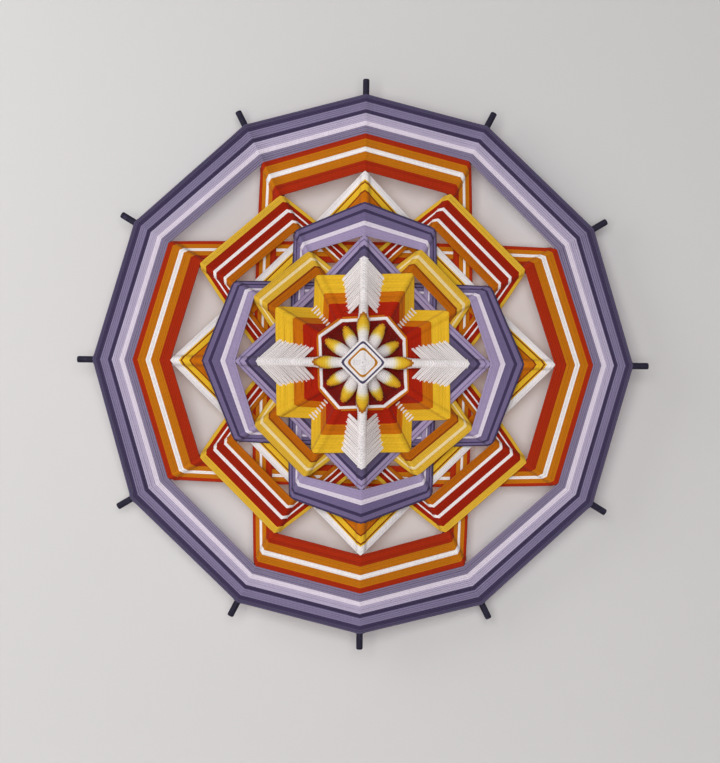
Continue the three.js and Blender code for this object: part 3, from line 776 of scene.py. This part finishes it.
def wind_throat():
    """The throat's red starts deep under the petals, where its rounds are a darker red that is painted
    shade; its white edge is the octagon that shows.
    """
    (_, red, red_stripes), (_, white, white_stripes) = THROAT
    cover = Underside()
    spans = {"red": (-THROAT_DEEP, red, red_stripes), "white": (red, red + white, white_stripes)}
    for word, (low, high, stripes) in spans.items():
        skein = Skein()
        inner = {s: filled[s] + low for s in OCTAGON}
        yarns = yarn_list(stripes)
        radii = band_radii(OCTAGON, inner, high - low, {s: 1.0 for s in OCTAGON}, len(yarns))
        degrees = np.full(len(yarns), ROOT_DEGREES["front"])
        if word == "red":
            climb = np.clip(1 - (len(yarns) - np.arange(len(yarns))) / THROAT_CLIMB, 0, 1)
            degrees = THROAT_FLOOR + (degrees - THROAT_FLOOR) * climb
        wind_rounds(skein, OCTAGON, radii, yarns, [wound_before], cover, degrees=degrees)
        skein.make(f"throat_{word}", [f"throat_{word}"], slot_of(f"throat_{word}"))
    for s in OCTAGON:
        filled[s] += red + white
    wound_before.take_in(cover)


# Star and feathers

def star_slip(way):
    """The star's corners lie past the middle of the dowels, away from its long axis."""
    step = STAR_SLIP[way]
    spokes = STARS[way]
    return {s: step if (i % 2 == 0) == (way == "upright") else -step for i, s in enumerate(spokes)}


def wind_star_and_feathers():
    """The star's two rectangles and the feathers' white squares are wound in turn, a round of each at a
    time, so that each round passes behind the ones before it and in front of the ones after it."""
    yarns = [(word, yarn) for word, _, stripes in STAR for yarn in yarn_list(stripes)]
    rounds = len(yarns)
    total = sum(width for _, width, _ in STAR)
    pitch = total / rounds
    skeins = {f"star_{way}_{word}": Skein() for way in STARS for word, _, _ in STAR}
    feathers = Skein()
    first_barb = PETAL_ENDS[0] + NECK
    barb_step = (FEATHER_END - first_barb) / BARBS
    for spoke in FRONT:
        coil(feathers, spoke, PETAL_ENDS[0], first_barb, even(RING), "white")
        coil(feathers, spoke, first_barb, FEATHER_END, even(BARB_CORE), "white")
    layers = {way: Underside() for way in (*STARS, "feathers")}
    lead = np.linspace(*BARB_LEAD, BARBS)
    barb = 0
    for n, (word, yarn) in enumerate(yarns):
        for way, spokes in STARS.items():
            others = [wound_before] + [layer for key, layer in layers.items() if key != way]
            inner = {s: filled[s] + pitch * n for s in spokes}
            radii = band_radii(spokes, inner, pitch, {s: 1.0 for s in spokes}, 1)
            wind_rounds(skeins[f"star_{way}_{word}"], spokes, radii, [yarn], others, layers[way],
                        bow=STAR_BOW, press=STAR_PRESS, radius=STAR_PACKED * pitch, slip=star_slip(way))
        others = [wound_before] + [layers[way] for way in STARS]
        reached = filled[OCTAGON[0]] + pitch * (n + 1)
        while barb < BARBS and (first_barb + barb_step * barb < reached + lead[barb] or n == rounds - 1):
            inner = {s: first_barb + barb_step * barb for s in FRONT}
            radii = band_radii(FRONT, inner, barb_step, {s: 1.0 for s in FRONT}, 1)
            lean = (BARB_PAIR if barb % 2 == 0 else -BARB_PAIR) / inner[0]
            wind_rounds(feathers, FRONT, radii, ["white"], others, layers["feathers"], bow=lean, over=True,
                        press=STAR_PRESS, radius=BARB_R)
            barb += 1
    for node, skein in skeins.items():
        skein.make(node, [node], slot_of(node))
    feathers.make("feathers", [f"feather_{s or len(SPOKES)}" for s in FRONT], "white_yarn")
    for layer in layers.values():
        wound_before.take_in(layer)
    for s in OCTAGON:
        filled[s] += total
    for s in FRONT:
        filled[s] = FEATHER_END


# Dowels

SAME_PLACE = 1e-6  # points closer than this are one, in metres


def merge_points(mesh):
    """Joins points in the same place, which takes out the faces of no area between them."""
    work = bmesh.new()
    work.from_mesh(mesh)
    bmesh.ops.remove_doubles(work, verts=work.verts, dist=SAME_PLACE)
    work.to_mesh(mesh)
    work.free()


def dowel(node, spoke, lapped):
    """A round bar with rounded ends, swept along its spoke: rings of a profile (radius, place), cut to half
    its depth over the lap at the hub."""
    bend = np.radians(np.linspace(0, 90, TIP_RINGS))
    tip_r = DOWEL_R - TIP_ROUND + TIP_ROUND * np.sin(bend)
    tip_s = TIP - TIP_ROUND + TIP_ROUND * np.cos(bend)
    lap = DOWEL_R + LAP_CLEARANCE
    place = np.concatenate([tip_s, [lap, lap], [-lap, -lap], -tip_s[::-1]])
    radius = np.concatenate([tip_r, [DOWEL_R] * 4, tip_r[::-1]])
    notched = np.zeros(len(place), bool)
    notched[len(tip_s) + 1:len(tip_s) + 3] = True
    angle = np.arange(DOWEL_SIDES) * math.tau / DOWEL_SIDES
    side = radius[:, None] * np.cos(angle)
    depth = radius[:, None] * np.sin(angle)
    half = LAP_CLEARANCE / 2
    cut = np.minimum(depth, -half) if lapped else np.maximum(depth, half)
    depth = np.where(notched[:, None], cut, depth)
    points = spoke_point(spoke, place[:, None], side, depth).reshape(-1, 3)
    index = np.arange(points.shape[0]).reshape(-1, DOWEL_SIDES)
    here = index[:-1]
    there = index[1:]
    quads = np.stack([here, np.roll(here, -1, 1), np.roll(there, -1, 1), there], axis=-1)
    faces = quads.reshape(-1, 4).tolist() + [index[0, ::-1].tolist(), index[-1].tolist()]
    mesh = bpy.data.meshes.new(f"{node}_turned")
    mesh.from_pydata(in_frame(points).tolist(), [], faces)
    merge_points(mesh)
    mesh.materials.append(MATERIALS["paint"])
    mesh.shade_smooth()
    set_piece(mesh, [node])


def add_dowels():
    """Two dowels for each cross: the first is cut in front at the lap, and the second behind."""
    for spoke, place in enumerate(CROSSES):
        dowel(f"dowel_{place}_a", spoke, True)
        dowel(f"dowel_{place}_b", spoke + 3, False)


# Stage: wall, light and camera

WALL_GAP = 6.0
FLOOR_DROP = 520.0
COVE = 90.0
COVE_POINTS = 13
REACH = 4000.0
FLOOR_REACH = 2200.0


def add_wall():
    """A sheet swept sideways along a profile: down the wall behind the ornament, round a cove, and out
    along the floor."""
    wall = cad_box[1][1] / MM + WALL_GAP
    bend = np.radians(np.linspace(0, 90, COVE_POINTS))
    back = np.concatenate([[wall], wall - COVE * (1 - np.cos(bend)), [-FLOOR_REACH]])
    up = np.concatenate([[REACH], COVE - FLOOR_DROP - COVE * np.sin(bend), [-FLOOR_DROP]])
    across = np.array([-REACH, REACH])
    grid = np.stack(np.broadcast_arrays(across, back[:, None], up[:, None]), axis=-1) * MM
    index = np.arange(grid.size // 3).reshape(len(back), 2)
    quads = np.stack([index[:-1, 0], index[1:, 0], index[1:, 1], index[:-1, 1]], axis=-1)
    mesh = bpy.data.meshes.new("wall")
    mesh.from_pydata(grid.reshape(-1, 3), [], quads)
    mesh.materials.append(wall_material())
    mesh.shade_smooth()
    sheet = bpy.data.objects.new("wall", mesh)
    bpy.context.scene.collection.objects.link(sheet)


# Square lamps: where each stands, its size and its power, in metres and watts
LAMPS = {
    "window": ((-1.12, -0.78, 0.45), 0.9, 6.2),
    "front": ((-0.3, -4.0, 0.1), 2.3, 115),
    "rear": ((0.9, 3.8, 0.9), 2.3, 90),
}


def add_light(name, place, size, power):
    """A square area lamp that looks at the hub."""
    lamp = bpy.data.lights.new(name, "AREA")
    lamp.size = size
    lamp.energy = power
    thing = bpy.data.objects.new(name, lamp)
    thing.location = place
    aim = -thing.location
    thing.rotation_euler = aim.to_track_quat("-Z", "Y").to_euler()
    bpy.context.scene.collection.objects.link(thing)


CAMERA_AWAY = 2.4  # in metres
VIEW_HEIGHT = 0.8175  # of the picture at the hub's depth, in metres
VIEW_CENTRE = (-0.0028, -0.0197)  # right and up from the hub
RISE = math.radians(2.5)  # the camera looks a little upwards
ROLL = math.radians(-0.7)


def add_camera():
    """The camera of the photograph: straight on, but for a small rise and roll."""
    lens = bpy.data.cameras.new("camera")
    lens.sensor_fit = "VERTICAL"
    lens.sensor_height = lens.sensor_width
    lens.lens = lens.sensor_height * CAMERA_AWAY / VIEW_HEIGHT
    camera = bpy.data.objects.new("camera", lens)
    aim = Matrix.Rotation(math.pi / 2 + RISE, 3, "X") @ Matrix.Rotation(-ROLL, 3, "Z")
    camera.location = (VIEW_CENTRE[0], 0, VIEW_CENTRE[1])
    camera.location += aim @ Vector((0, 0, CAMERA_AWAY))
    camera.rotation_euler = aim.to_euler()
    bpy.context.scene.collection.objects.link(camera)
    bpy.context.scene.camera = camera


ROOM_LIGHT = (0.93, 0.94, 1.0, 1.0)
ROOM_STRENGTH = 0.08


def add_room():
    """Faint even light from all round, and a pale backdrop for the camera and for reflections."""
    world = bpy.data.worlds.new("room")
    world.use_nodes = True
    tree = world.node_tree
    light = tree.nodes["Background"]
    light.inputs["Color"].default_value = ROOM_LIGHT
    light.inputs["Strength"].default_value = ROOM_STRENGTH
    backdrop = tree.nodes.new("ShaderNodeBackground")
    backdrop.inputs["Color"].default_value = linear(BACKDROP)
    either = tree.nodes.new("ShaderNodeMixShader")
    rays = tree.nodes.new("ShaderNodeLightPath").outputs
    sees_backdrop = rays["Is Camera Ray"]
    for ray in ("Is Glossy Ray", "Is Transmission Ray"):
        also = tree.nodes.new("ShaderNodeMath")
        also.operation = "MAXIMUM"
        tree.links.new(sees_backdrop, also.inputs[0])
        tree.links.new(rays[ray], also.inputs[1])
        sees_backdrop = also.outputs[0]
    tree.links.new(sees_backdrop, either.inputs[0])
    tree.links.new(light.outputs[0], either.inputs[1])
    tree.links.new(backdrop.outputs[0], either.inputs[2])
    tree.links.new(either.outputs[0], tree.nodes["World Output"].inputs["Surface"])
    bpy.context.scene.world = world


def add_stage():
    add_wall()
    for name, (place, size, power) in LAMPS.items():
        add_light(name, place, size, power)
    add_room()
    bpy.context.scene.view_settings.view_transform = "Standard"


MATERIALS = {name: yarn_material(name, code) for name, code in YARNS.items()}
MATERIALS |= {name: petal_material(name) for name in PETAL_EDGE_COLOURS}
MATERIALS["paint"] = paint_material()

add_camera()
add_stage()
add_dowels()
wind_petals(wind_eye())
wind_throat()
wind_star_and_feathers()
wind("small_diamond", FRONT, SMALL_DIAMOND)
for way, spokes in BOXES.items():
    wind(f"small_box_{way}", spokes, SMALL_BOX, bow=SMALL_BOX_BOW)
for way, spokes in HEXAGONS.items():
    wind(f"small_hexagon_{way}", spokes, SMALL_HEXAGON, bow=LONG_BOW, pinch=SMALL_HEXAGON_PINCH)
for way, spokes in BOXES.items():
    wind(f"large_box_{way}", spokes, LARGE_BOX, bow=LARGE_BOX_BOW)
wind("large_diamond", FRONT, LARGE_DIAMOND)
for way, spokes in HEXAGONS.items():
    wind(f"large_hexagon_{way}", spokes, LARGE_HEXAGON, bow=LONG_BOW)
wind("rim", list(SPOKES), RIM, outer=RIM_OUT)
